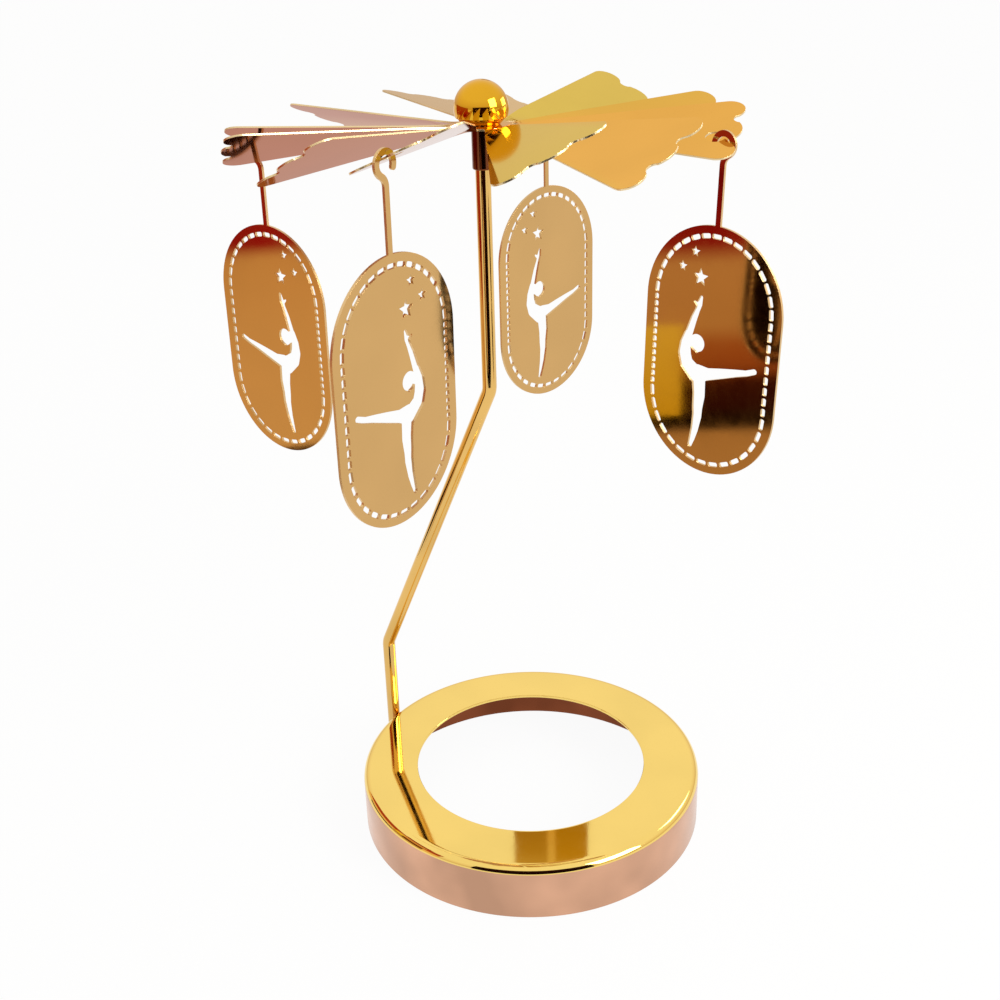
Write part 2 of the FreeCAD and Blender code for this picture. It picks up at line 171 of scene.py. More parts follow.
class CarouselWheel(bpy.types.PropertyGroup):
    """Sizes and colours of the blade wheel."""
    axis_x: coordinate("Axis X", "Where the rotor's axis stands", -5.84)
    axis_y: coordinate("Axis Y", "Where the rotor's axis stands", 2.54)
    height: length("Height", "Middle of the sheet above the table", 130.6)
    sheet: length("Sheet", "Thickness of the wheel's sheet", 0.3)
    disc_r: length("Disc", "Radius of the disc", 4.9)
    bore_r: length("Bore", "Radius of the hole for the spigot", 1.42)
    root_r: length("Root", "Radius at which a blade starts to twist", 5.3)
    root_half: length("Root half width", "Half width of the tab", 0.8)
    twist_r: length("Twist end", "Radius at which the twist ends", 11.0)
    twist_half: length("Twist half width", "Half width there", 2.2)
    side_lobe_r: length("Side lobe", "Radius of the lobes beside the middle one", 2.55)
    side_lobe_reach: length("Side lobe reach", "From the axis to the end of the side lobes", 40.8)
    blade_half: length("Blade half width", "From the blade's middle to its edge at a side lobe", 8.7)
    valley_side: length("Valley side", "Where a side lobe ends, from the blade's middle", 4.3)
    valley_reach: length("Valley reach", "From the axis to the bottom of a valley", 39.4)
    valley_middle: length("Valley middle", "A valley's bottom, from the blade's middle", 3.15)
    middle_lobe_reach: length("Middle lobe reach", "From the axis to the end of the middle lobe", 41.1)
    middle_lobe_start: length("Middle lobe start", "From the axis to the foot of the middle lobe", 40.4)
    middle_lobe_half: length("Middle lobe half width", "Half width of the middle lobe's foot", 2.2)
    hook_hole_d: length("Hook hole", "Diameter of the hole for a hook", 3.0)
    hook_hole_reach: length("Hook hole reach", "From the axis to the hole's centre", 37.35)
    hook_hole_side: length("Hook hole side", "The hole's centre, from the blade's middle", 2.35)
    edge: length("Edge", "Rounding of the sheet's edges", 0.03)
    pitch: bearing("Pitch", "Pitch of the blades", 23.7)
    first_blade: bearing("First blade", "Azimuth of the first blade", 285.0)
    blade_count: IntProperty(name="Blades", description="Number of blades", default=12)
    upper_glance: colour("Upper glance", "Upper side seen at a flat angle", "#F9E7CB")
    lower_glance: colour("Lower glance", "Lower side seen at a flat angle", "#E4CAC0")
    # The edge's lighter colour is partly painted highlight along the sheet's edges
    edge_and_glint_colour: colour("Edge colour", "Cut edge of the sheet", "#F0D8A8")


class CarouselHub(bpy.types.PropertyGroup):
    """Sizes and colours of the knob and the sleeve."""
    knob_d: length("Knob", "Diameter of the dome", 8.8)
    knob_rise: length("Rise", "Top of the dome above the sheet's middle", 7.1)
    band_drop: length("Band", "Height of the band under the dome", 1.45)
    base_r: length("Band foot", "Radius at the foot of the band", 4.05)
    collar_r: length("Collar", "Radius at the top of the collar", 3.75)
    foot_r: length("Foot", "Radius of the collar on the disc", 2.95)
    groove: length("Groove", "Depth of the turned groove under the band", 0.12)
    dimple_r: length("Dimple", "Radius of the dimple for the rod's point", 0.8)
    spigot_rise: length("Spigot", "Height of the spigot above the sheet", 2.3)
    spigot_r: length("Spigot radius", "Radius of the spigot", 1.4)
    spigot_bore_r: length("Spigot bore", "Radius of the bore in the spigot", 1.0)
    rod_bore_r: length("Rod bore", "Radius of the bore around the rod's point", 1.35)
    step_drop: length("Bore step", "From the sheet down to the wider bore", 1.2)
    sleeve_d: length("Sleeve", "Diameter of the sleeve", 3.4)
    sleeve_length: length("Sleeve length", "Below the sheet", 6.7)
    knob_colour: colour("Knob colour", "Turned gold plate", "#E9AE2C")
    # The sleeve's dark brown is painted shade from the wheel above it
    sleeve_shade_colour: colour("Sleeve colour", "Darker plate on the sleeve", "#7A4326")


class CarouselCharm(bpy.types.PropertyGroup):
    """Sizes and colours of the charms."""
    sheet: length("Sheet", "Thickness of the charm's sheet", 0.45)
    edge: length("Edge", "Rounding of the sheet's edges", 0.04)
    front_colour: colour("Front colour", "Gold plate on the charms", "#D2A76A")
    # The edge's lighter colour is partly painted highlight along the charm's edges
    edge_and_glint_colour: colour("Edge colour", "Etched edge of the sheet", "#E8C48E")


class CarouselStage(bpy.types.PropertyGroup):
    """Floor, light and camera."""
    floor_colour: colour("Floor", "Colour of the floor and backdrop", "#FDFDFD")
    focal_px: FloatProperty(name="Focal length", description="In pixels of a 1000 pixel frame",
                            default=1300.0)


def settings(name):
    """The group of settings with this name."""
    return getattr(bpy.context.scene, "carousel_" + name)


def add_node(tree, kind, values=None, links=None):
    """Add one node, set its fields and sockets, and link its inputs."""
    node = tree.nodes.new(kind)
    for key, value in (values or {}).items():
        if key in node.inputs and not hasattr(node, key):
            node.inputs[key].default_value = value
        else:
            setattr(node, key, value)
    for key, source in (links or {}).items():
        tree.links.new(source, node.inputs[key])
    return node


def add_ramp(tree, share, stops):
    """Colour that runs through stops of (share, colour) as a share goes from 0 to 1."""
    node = add_node(tree, "ShaderNodeValToRGB", None, {"Fac": share})
    elements = node.color_ramp.elements
    for end in (0, -1):
        elements[end].position = stops[end][0]
        elements[end].color = (*linear(stops[end][1]), 1)
    for position, hex_colour in stops[1:-1]:
        elements.new(position).color = (*linear(hex_colour), 1)
    return node.outputs["Color"]


def painted_reflection_around_wheel(tree, place, reflection_tones):
    """Painted reflection: colour that changes around the wheel's axis; the tones are (azimuth in degrees,
    colour).
    """
    wheel = settings("wheel")
    centred = add_node(tree, "ShaderNodeVectorMath", {"operation": "SUBTRACT"}, {0: place})
    centred.inputs[1].default_value = (wheel.axis_x, wheel.axis_y, 0)
    turn = add_node(tree, "ShaderNodeTexGradient", {"gradient_type": "RADIAL"},
                    {"Vector": centred.outputs[0]})
    return add_ramp(tree, turn.outputs["Fac"],
                    [(azimuth / 360 + 0.5, hex_colour) for azimuth, hex_colour in reflection_tones])


def blank_material(name):
    """New material with only its output: the material, its tree and the output."""
    material = bpy.data.materials.new(name)
    material.use_nodes = True
    tree = material.node_tree
    tree.nodes.clear()
    return material, tree, add_node(tree, "ShaderNodeOutputMaterial")


def plate_material(name, tint=None, *, reflection_tones=None, drift_share, roughness, smear, wave,
                   glance=(1, 1, 1), aside=(0, 0, 0)):
    """Electroplated gold: a mirror metal whose tone, gloss and flatness vary softly."""
    # Plate over polished steel keeps the sheet's long soft waves, and wiping leaves
    # hair-fine marks and smears that only change the gloss. Scales are per millimetre.
    material, tree, output = blank_material(name)
    place = add_node(tree, "ShaderNodeTexCoord").outputs["Object"]
    # Tone drifts over about 15 mm, as the plating bath leaves it
    drift = add_node(tree, "ShaderNodeTexNoise", {"Scale": 0.07 / MM, "Detail": 2.0, "Roughness": 0.45},
                     {"Vector": place})
    share = add_node(tree, "ShaderNodeMapRange",
                     {"From Min": 0.35, "From Max": 0.65, "To Min": drift_share},
                     {"Value": drift.outputs["Fac"]})
    tone = add_node(tree, "ShaderNodeVectorMath", {"operation": "SCALE"},
                    {"Scale": share.outputs["Result"]})
    # On the blades the colour is painted reflection, taken from the azimuth about the wheel's axis
    if reflection_tones:
        tree.links.new(painted_reflection_around_wheel(tree, place, reflection_tones), tone.inputs[0])
    else:
        tone.inputs[0].default_value = tint
    # Smears of 3 to 6 mm change the gloss a little
    smears = add_node(tree, "ShaderNodeTexNoise", {"Scale": 0.26 / MM, "Detail": 4.0, "Roughness": 0.6},
                      {"Vector": place})
    gloss = add_node(tree, "ShaderNodeMapRange",
                     {"From Min": 0.3, "From Max": 0.7, "To Min": roughness, "To Max": roughness + smear},
                     {"Value": smears.outputs["Fac"]})
    # Grain of the plate, drawn at a third of a millimetre so that it shows
    grain = add_node(tree, "ShaderNodeTexNoise", {"Scale": 2.9 / MM, "Detail": 3.0}, {"Vector": place})
    fine = add_node(tree, "ShaderNodeBump", {"Strength": 0.03, "Distance": 0.02 * MM},
                    {"Height": grain.outputs["Fac"]})
    # Waves of the sheet are about 20 mm long
    waves = add_node(tree, "ShaderNodeTexNoise", {"Scale": 0.045 / MM, "Detail": 1.0}, {"Vector": place})
    slow = add_node(tree, "ShaderNodeBump", {"Strength": wave, "Distance": MM},
                    {"Height": waves.outputs["Fac"], "Normal": fine.outputs["Normal"]})
    # A plate that is bent a little mirrors a few degrees aside
    bent = add_node(tree, "ShaderNodeVectorMath", {"operation": "ADD"}, {0: slow.outputs["Normal"]})
    bent.inputs[1].default_value = aside
    metal = add_node(tree, "ShaderNodeBsdfPrincipled", {"Metallic": 1.0, "Specular Tint": (*glance, 1)},
                     {"Base Color": tone.outputs["Vector"], "Roughness": gloss.outputs["Result"],
                      "Normal": bent.outputs["Vector"]})
    tree.links.new(metal.outputs["BSDF"], output.inputs["Surface"])
    return material


def mesh_object(bm, name, materials):
    """Turn a bmesh into an object of the scene."""
    mesh = bpy.data.meshes.new(name)
    bm.to_mesh(mesh)
    bm.free()
    for material in materials:
        mesh.materials.append(material)
    piece = bpy.data.objects.new(name, mesh)
    bpy.context.scene.collection.objects.link(piece)
    return piece


def finish_piece(bm, name, body, nodes, materials, flat=False):
    """Turn a bmesh into a named piece that rides on a body and stands for CAD nodes."""
    piece = mesh_object(bm, name, materials)
    if flat:
        piece.data.shade_flat()
    else:
        piece.data.shade_smooth()
        piece.data.set_sharp_from_angle(angle=SHARP_ANGLE)
    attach(piece, body)
    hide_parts(*nodes)
    return piece


def last_vert(result):
    """The new end vertex of a spun or extruded path."""
    return [v for v in result["geom_last"] if isinstance(v, bmesh.types.BMVert)][0]


def go_to(bm, tip, point):
    """Extend a path by a straight run to a point."""
    end = bmesh.ops.extrude_vert_indiv(bm, verts=[tip])["verts"][0]
    bmesh.ops.translate(bm, verts=[end], vec=Vector(point) - tip.co)
    return end


def turn_about(bm, tip, centre, angle, axis=UP, step=math.radians(6)):
    """Extend a path by an arc about a centre."""
    steps = max(2, math.ceil(abs(angle) / step))
    return last_vert(bmesh.ops.spin(bm, geom=[tip], cent=centre, axis=axis, angle=angle,
                                    steps=steps, use_merge=False))


def flat_point(x, y):
    """Point in a flat drawing, given in metres."""
    return Vector((x, y, 0))


def arc_centre(a, b, c):
    """Centre of the circle through three points of the XY plane."""
    d = 2 * (a.x * (b.y - c.y) + b.x * (c.y - a.y) + c.x * (a.y - b.y))
    aa, bb, cc = a.length_squared, b.length_squared, c.length_squared
    return flat_point((aa * (b.y - c.y) + bb * (c.y - a.y) + cc * (a.y - b.y)) / d,
                      (aa * (c.x - b.x) + bb * (a.x - c.x) + cc * (b.x - a.x)) / d)


def signed_turn(centre, start, end, clockwise):
    """Angle from start to end about a centre, in one sense of turning."""
    first, last = start - centre, end - centre
    angle = (math.atan2(last.y, last.x) - math.atan2(first.y, first.x)) % FULL_TURN
    return angle - FULL_TURN if clockwise else angle


def spun_profile(points, steps, bevels=()):
    """Closed solid of revolution about Z; profile corners in bevels get rounded."""
    bm = bmesh.new()
    tip = bm.verts.new((points[0][0], 0, points[0][1]))
    ring = [tip]
    for x, z in points[1:]:
        tip = go_to(bm, tip, (x, 0, z))
        ring.append(tip)
    bm.edges.new((ring[-1], ring[0]))
    for index, radius, segments in sorted(bevels, reverse=True):
        bmesh.ops.bevel(bm, geom=[ring[index]], offset=radius, offset_type="OFFSET", segments=segments,
                        profile=0.5, affect="VERTICES", material=-1)
    geometry = bm.verts[:] + bm.edges[:]
    bmesh.ops.spin(bm, geom=geometry, cent=(0, 0, 0), axis=UP, angle=FULL_TURN, steps=steps, use_merge=True)
    bmesh.ops.remove_doubles(bm, verts=bm.verts[:], dist=TOUCH)
    bmesh.ops.recalc_face_normals(bm, faces=bm.faces[:])
    return bm


def ring_point(radius, azimuth, z=0.0):
    """Point at a radius and an azimuth about the ring's axis."""
    return Vector((radius * math.cos(azimuth), radius * math.sin(azimuth), z))


class CAROUSEL_OT_ring(bpy.types.Operator):
    """Pressed candle ring with a rounded shoulder and a plain skirt"""
    bl_idname = "carousel.ring"
    bl_label = "Candle Ring"

    def execute(self, context):
        ring = settings("ring")
        outer, hole = ring.outer_d / 2, ring.opening_d / 2
        inner, under = outer - ring.sheet, ring.height - ring.sheet
        edge = 0.12 * MM
        near = 0.3 * MM
        profile = [
            (outer, 0), (outer, ring.height - ring.shoulder_r - near), (outer, ring.height),
            (outer - ring.shoulder_r - near, ring.height), (hole + near, ring.height), (hole, ring.height),
            (hole, under), (hole + near, under), (inner, under), (inner, 0),
        ]
        rounded = ((0, edge, 2), (2, ring.shoulder_r, 14), (5, edge, 3), (6, edge, 3),
                   (8, ring.shoulder_r - ring.sheet, 8), (9, edge, 2))
        bm = spun_profile(profile, 256, rounded)
        skirt_top = ring.height - ring.shoulder_r * 0.75
        for face in bm.faces:
            middle = face.calc_center_median()
            away = face.normal.x * middle.x + face.normal.y * middle.y
            # Faces under the ring and inside the skirt take the painted shade, the skirt the painted rose
            # reflection
            if face.normal.z < -0.5 or (away < 0 and middle.xy.length > hole + near):
                face.material_index = 2
            elif middle.z < skirt_top:
                face.material_index = 1
        finish_piece(bm, "candle_ring", "stand", ["base_ring"], [
            # Mirror gold plate on pressed steel: shows its surroundings clearly
            plate_material("mirror_gold_plate_ring", ring.top_colour,
                           drift_share=0.95, roughness=0.03, smear=0.03, wave=0.012),
            # Plate on the drawn skirt is a little cloudy; its rosier tone is painted reflection
            plate_material("satin_gold_skirt_painted_rose_reflection", ring.skirt_rose_reflection_colour,
                           drift_share=0.7, roughness=0.16, smear=0.08, wave=0.03),
            # Under the ring and inside the skirt: painted shade, darker than the top
            plate_material("ring_inside_painted_shade", ring.inner_shade_colour,
                           drift_share=0.6, roughness=0.2, smear=0.1, wave=0.03),
        ])
        return {"FINISHED"}


class CAROUSEL_OT_rod(bpy.types.Operator):
    """Bent rod from the skirt to its point on the rotor axis"""
    bl_idname = "carousel.rod"
    bl_label = "Support Rod"

    def execute(self, context):
        ring, rod, wheel = settings("ring"), settings("rod"), settings("wheel")
        radius = rod.rod_d / 2
        foot_low, foot_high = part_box("support_rod")
        foot_r = ring.outer_d / 2 + rod.braze_gap + radius
        foot = ring_point(foot_r, rod.foot_azimuth, foot_low.z)
        low_bend = ring_point(foot_r, rod.foot_azimuth, rod.lower_bend_z)
        high_bend = Vector((wheel.axis_x, wheel.axis_y, rod.upper_bend_z))
        tip_z = foot_high.z
        slope = (high_bend - low_bend).normalized()
        bend = UP.angle(slope)
        reach = rod.bend_r * math.tan(bend / 2)
        side = Vector((slope.x, slope.y, 0)).normalized()
        bend_axis = UP.cross(side)
        bm = bmesh.new()
        made = bmesh.ops.create_circle(bm, cap_ends=True, segments=40, radius=radius,
                                       matrix=Matrix.Translation(foot))
        bottom = [f for v in made["verts"] for f in v.link_faces][0]
        ends = bottom.edges[:]

        def run(edges, vector):
            made = bmesh.ops.extrude_edge_only(bm, edges=edges)["geom"]
            bmesh.ops.translate(bm, verts=[g for g in made if isinstance(g, bmesh.types.BMVert)], vec=vector)
            return [g for g in made if isinstance(g, bmesh.types.BMEdge)
                    and len(g.link_faces) == 1]

        def arc(edges, centre, angle):
            made = bmesh.ops.spin(bm, geom=edges, cent=centre, axis=bend_axis, angle=angle, steps=14)
            return [g for g in made["geom_last"] if isinstance(g, bmesh.types.BMEdge)]

        ends = run(ends, UP * (low_bend.z - reach - foot.z))
        ends = arc(ends, low_bend - UP * reach + side * rod.bend_r, bend)
        ends = run(ends, slope * ((high_bend - low_bend).length - 2 * reach))
        ends = arc(ends, high_bend + UP * reach - side * rod.bend_r, -bend)
        taper_z = tip_z - rod.point_length
        ends = run(ends, UP * (taper_z - high_bend.z - reach))
        ends = run(ends, UP * rod.point_length)
        tips = list({v for e in ends for v in e.verts})
        centre = Vector((wheel.axis_x, wheel.axis_y, tip_z))
        tip_share = 0.08
        bmesh.ops.scale(bm, verts=tips, vec=(tip_share, tip_share, 1), space=Matrix.Translation(-centre))
        bmesh.ops.contextual_create(bm, geom=ends)
        bmesh.ops.recalc_face_normals(bm, faces=bm.faces[:])
        low_edges = [e for e in bm.edges if max(v.co.z for v in e.verts) < foot.z + 10 * TOUCH]
        bmesh.ops.bevel(bm, geom=low_edges, offset=rod.foot_edge, offset_type="OFFSET", segments=3,
                        profile=0.5, affect="EDGES", material=-1)
        finish_piece(bm, "bent_rod", "stand", ["support_rod"], [
            # Bright plate on drawn wire: a round mirror with long dark and light streaks
            plate_material("bright_gold_plate_wire", rod.rod_colour,
                           drift_share=0.85, roughness=0.05, smear=0.04, wave=0.02),
        ])
        return {"FINISHED"}


class CAROUSEL_OT_braze(bpy.types.Operator):
    """Finish of the brazed bead between rod and skirt"""
    bl_idname = "carousel.braze"
    bl_label = "Braze Bead"

    def execute(self, context):
        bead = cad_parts["braze_bead"]
        bead.data.materials.clear()
        # Filler that flowed and was plated over: soft, a little rough
        bead.data.materials.append(plate_material(
            "plated_braze_filler", settings("braze").bead_colour,
            drift_share=0.6, roughness=0.25, smear=0.15, wave=0.25))
        return {"FINISHED"}


def wheel_place(wheel):
    """Matrix that lifts a drawing about the origin to the wheel's middle."""
    return Matrix.Translation((wheel.axis_x, wheel.axis_y, wheel.height))


def blade_azimuth(wheel, index):
    """Even place of a blade around the wheel."""
    return wheel.first_blade + index * FULL_TURN / wheel.blade_count


def blade_outline(bm, wheel):
    """Flat outline of a blade's lobed end, from its twist outward along X."""
    lobe_r = wheel.side_lobe_r
    lobe = flat_point(wheel.side_lobe_reach - lobe_r, lobe_r - wheel.blade_half)
    root = flat_point(wheel.twist_r, -wheel.twist_half)
    run = lobe - root
    swing = math.acos(lobe_r / run.length)
    start_turn = math.atan2(-run.y, -run.x) + swing
    tangent = lobe + ring_point(lobe_r, start_turn)
    inward = -wheel.valley_side - lobe.y
    valley_start = lobe + flat_point(math.sqrt(lobe_r ** 2 - inward ** 2), inward)
    valley_bottom = flat_point(wheel.valley_reach, -wheel.valley_middle)
    valley_end = flat_point(wheel.middle_lobe_start, -wheel.middle_lobe_half)
    crown = flat_point(wheel.middle_lobe_reach, 0)
    valley = arc_centre(valley_start, valley_bottom, valley_end)
    middle = arc_centre(valley_end, crown, flat_point(valley_end.x, -valley_end.y))
    first = bm.verts.new(root)
    tip = go_to(bm, first, tangent)
    tip = turn_about(bm, tip, lobe, signed_turn(lobe, tangent, valley_start, False), step=math.radians(8))
    tip = turn_about(bm, tip, valley, signed_turn(valley, valley_start, valley_end, True),
                     step=math.radians(15))
    turn_about(bm, tip, middle, signed_turn(middle, valley_end, crown, False), step=math.radians(8))
    bmesh.ops.mirror(bm, geom=bm.verts[:] + bm.edges[:], axis="Y", merge_dist=10 * TOUCH)
    roots = sorted(bm.verts, key=lambda v: v.co.x)[:2]
    bm.edges.new(roots)


def blade_frame(wheel, index):
    """Matrix that carries the flat blade drawing to where the blade is."""
    twist_error, lift, turn_error = BLADE_BENDS[index]
    turn = blade_azimuth(wheel, index) + math.radians(turn_error)
    rise = math.radians(lift)
    pitch = wheel.pitch + math.radians(twist_error)
    radial = ring_point(1.0, turn)
    tangent = ring_point(1.0, turn + math.pi / 2)
    outward = radial * math.cos(rise) + UP * math.sin(rise)
    upward = UP * math.cos(rise) - radial * math.sin(rise)
    crosswise = tangent * math.cos(pitch) + upward * math.sin(pitch)
    normal = outward.cross(crosswise)
    matrix = Matrix((outward, crosswise, normal)).transposed().to_4x4()
    return wheel_place(wheel) @ matrix


def blade_sheet(wheel, index):
    """One blade as a flat sheet in place, with the twisted strip of its root."""
    bm = bmesh.new()
    blade_outline(bm, wheel)
    if index in HOOKED_BLADES:
        hole = flat_point(wheel.hook_hole_reach, -wheel.hook_hole_side)
        bmesh.ops.create_circle(bm, cap_ends=False, segments=40, radius=wheel.hook_hole_d / 2,
                                matrix=Matrix.Translation(hole))
    bmesh.ops.triangle_fill(bm, use_beauty=True, edges=bm.edges[:], normal=UP)
    bmesh.ops.recalc_face_normals(bm, faces=bm.faces[:])
    if sum(f.normal.z for f in bm.faces) < 0:
        bmesh.ops.reverse_faces(bm, faces=bm.faces[:])
    bmesh.ops.transform(bm, matrix=blade_frame(wheel, index), verts=bm.verts[:])
    back = blade_frame(wheel, index).inverted()
    root = [e for e in bm.edges if all((back @ v.co).x < wheel.twist_r + 10 * TOUCH for v in e.verts)]
    made = bmesh.ops.extrude_edge_only(bm, edges=root)["geom"]
    tab = wheel_place(wheel) @ Matrix.Rotation(blade_azimuth(wheel, index), 4, "Z")
    for vert in [g for g in made if isinstance(g, bmesh.types.BMVert)]:
        side = 1 if (back @ vert.co).y > 0 else -1
        target = tab @ Vector((wheel.root_r, side * wheel.root_half, 0))
        bmesh.ops.translate(bm, verts=[vert], vec=target - vert.co)

    def at_root(vert):
        return (back @ vert.co).x < wheel.twist_r - 0.1 * MM

    strip = [f for f in bm.faces if any(at_root(v) for v in f.verts)]
    sides = [e for f in strip for e in f.edges if at_root(e.verts[0]) != at_root(e.verts[1])]
    bmesh.ops.subdivide_edges(bm, edges=sides, cuts=10, use_grid_fill=True)
    return bm


def hub_disc(wheel):
    """Disc in the middle of the wheel with its twelve tabs, as a flat sheet."""
    bm = bmesh.new()
    pitch = FULL_TURN / wheel.blade_count
    half = math.asin(wheel.root_half / wheel.disc_r)
    start = bm.verts.new(ring_point(wheel.disc_r, half))
    turn_about(bm, start, Vector(), pitch - 2 * half)
    made = bm.verts[:]
    rim_end = max(made, key=lambda v: math.atan2(v.co.y, v.co.x))
    corner = Matrix.Rotation(pitch, 3, "Z") @ flat_point(wheel.root_r, -wheel.root_half)
    tip = go_to(bm, rim_end, corner)
    tip = go_to(bm, tip, Matrix.Rotation(pitch, 3, "Z") @ flat_point(wheel.root_r, wheel.root_half))
    go_to(bm, tip, Matrix.Rotation(pitch, 3, "Z") @ start.co)
    piece = bm.verts[:] + bm.edges[:]
    for index in range(1, wheel.blade_count):
        copy = bmesh.ops.duplicate(bm, geom=piece)["geom"]
        bmesh.ops.rotate(bm, verts=[g for g in copy if isinstance(g, bmesh.types.BMVert)],
                         cent=(0, 0, 0), matrix=Matrix.Rotation(index * pitch, 3, "Z"))
    bmesh.ops.remove_doubles(bm, verts=bm.verts[:], dist=10 * TOUCH)
    bmesh.ops.create_circle(bm, cap_ends=False, segments=48, radius=wheel.bore_r)
    bmesh.ops.triangle_fill(bm, use_beauty=True, edges=bm.edges[:], normal=UP)
    if sum(f.normal.z for f in bm.faces) < 0:
        bmesh.ops.reverse_faces(bm, faces=bm.faces[:])
    bmesh.ops.transform(bm, matrix=wheel_place(wheel) @ Matrix.Rotation(wheel.first_blade, 4, "Z"),
                        verts=bm.verts[:])
    return bm


def thicken(piece, thickness, offset, edge):
    """Give a sheet its thickness and a fine rounded edge."""
    wall = piece.modifiers.new("sheet", "SOLIDIFY")
    wall.thickness = thickness
    wall.offset = offset
    wall.use_even_offset = True
    wall.use_quality_normals = True
    wall.material_offset = 1
    wall.material_offset_rim = 2
    rounding = piece.modifiers.new("edge", "BEVEL")
    rounding.width = edge
    rounding.segments = 2
    rounding.limit_method = "ANGLE"
    rounding.angle_limit = math.radians(45)
    rounding.use_clamp_overlap = True
    rounding.harden_normals = False


class CAROUSEL_OT_wheel(bpy.types.Operator):
    """Blade wheel cut from one sheet, with twelve twisted blades"""
    bl_idname = "carousel.wheel"
    bl_label = "Blade Wheel"

    def execute(self, context):
        wheel = settings("wheel")
        bm = hub_disc(wheel)
        for index in range(wheel.blade_count):
            blade = blade_sheet(wheel, index)
            scrap = bpy.data.meshes.new("scrap")
            blade.to_mesh(scrap)
            blade.free()
            bm.from_mesh(scrap)
            bpy.data.meshes.remove(scrap)
        bmesh.ops.remove_doubles(bm, verts=bm.verts[:], dist=20 * TOUCH)
        bmesh.ops.recalc_face_normals(bm, faces=bm.faces[:])
        if sum(f.normal.z * f.calc_area() for f in bm.faces) < 0:
            bmesh.ops.reverse_faces(bm, faces=bm.faces[:])
        piece = finish_piece(bm, "blade_wheel", "rotor", ["rotor_plate"], [
            # Mirror plate on thin sheet: the upper side's yellow gold, changing around the wheel, is painted
            # reflection
            plate_material("mirror_gold_blades_upper_painted_reflection", reflection_tones=UPPER_PAINTED_REFLECTION_TONES, glance=wheel.upper_glance,
                           drift_share=0.95, roughness=0.05, smear=0.03, wave=0.012),
            # The lower side's rose colour, changing around the wheel, is painted reflection
            plate_material("mirror_gold_blades_lower_painted_rose_reflection", reflection_tones=LOWER_PAINTED_REFLECTION_TONES, glance=wheel.lower_glance,
                           drift_share=0.93, roughness=0.05, smear=0.03, wave=0.012),
            # Cut edge of the sheet, not polished; its lighter colour is partly painted highlight along the
            # edges
            plate_material("cut_edge_gold_and_painted_glint", wheel.edge_and_glint_colour,
                           drift_share=0.8, roughness=0.25, smear=0.1, wave=0.0),
        ], flat=True)
        thicken(piece, wheel.sheet, 0.0, wheel.edge)
        return {"FINISHED"}


def turned_knob(wheel, hub):
    """Domed knob, spun from its profile."""
    seat = wheel.sheet / 2
    dome_r = hub.knob_d / 2
    dome_z = hub.knob_rise - dome_r
    band_z = dome_z - hub.band_drop
    ceiling = seat + hub.spigot_rise
    groove = hub.groove
    neck_r = hub.collar_r - groove
    bm = bmesh.new()
    tip = bm.verts.new((0, 0, hub.knob_rise))
    for turn in (math.pi / 2, math.asin((hub.band_drop - groove) / dome_r)):
        tip = turn_about(bm, tip, Vector((0, 0, dome_z)), turn, Vector((0, 1, 0)), math.radians(3))
    for x, z in (
            (hub.base_r, band_z), (neck_r, band_z), (neck_r, band_z - groove),
            (hub.collar_r, band_z - 1.5 * groove), (neck_r, band_z - 3 * groove),
            (hub.foot_r, seat), (wheel.bore_r, seat), (wheel.bore_r, ceiling),
            (hub.dimple_r, ceiling), (0, ceiling + hub.dimple_r)):
        tip = go_to(bm, tip, (x, 0, z))
    bmesh.ops.spin(bm, geom=bm.verts[:] + bm.edges[:], cent=(0, 0, 0), axis=UP, angle=FULL_TURN,
                   steps=128, use_merge=True)
    bmesh.ops.remove_doubles(bm, verts=bm.verts[:], dist=TOUCH)
    bmesh.ops.recalc_face_normals(bm, faces=bm.faces[:])
    bmesh.ops.transform(bm, matrix=wheel_place(wheel), verts=bm.verts[:])
    return bm


def turned_sleeve(wheel, hub):
    """Sleeve that hangs over the rod's point, with the spigot that holds wheel and knob."""
    seat = wheel.sheet / 2
    outer = hub.sleeve_d / 2
    bottom = -seat - hub.sleeve_length
    step = -seat - hub.step_drop
    top = seat + hub.spigot_rise
    rounded = ((1, 0.3 * MM, 5), (2, 0.08 * MM, 2), (4, 0.1 * MM, 2))
    bm = spun_profile([
        (hub.rod_bore_r, bottom), (outer, bottom), (outer, -seat), (hub.spigot_r, -seat),
        (hub.spigot_r, top), (hub.spigot_bore_r, top), (hub.spigot_bore_r, step), (hub.rod_bore_r, step),
    ], 96, rounded)
    bmesh.ops.transform(bm, matrix=wheel_place(wheel), verts=bm.verts[:])
    return bm


class CAROUSEL_OT_hub(bpy.types.Operator):
    """Domed knob on top of the wheel and the sleeve below it"""
    bl_idname = "carousel.hub"
    bl_label = "Knob and Sleeve"

    def execute(self, context):
        wheel, hub = settings("wheel"), settings("hub")
        finish_piece(turned_knob(wheel, hub), "domed_knob", "rotor", ["knob"], [
            # Turned brass under gold plate: a deep amber mirror
            plate_material("turned_gold_plate_knob", hub.knob_colour,
                           drift_share=0.9, roughness=0.04, smear=0.03, wave=0.05),
        ])
        finish_piece(turned_sleeve(wheel, hub), "hub_sleeve_turned", "rotor", ["hub_sleeve"], [
            # Turned sleeve in the wheel's shade: its brown colour is painted shade
            plate_material("sleeve_gold_painted_shade", hub.sleeve_shade_colour,
                           drift_share=0.7, roughness=0.1, smear=0.08, wave=0.03),
        ])
        return {"FINISHED"}


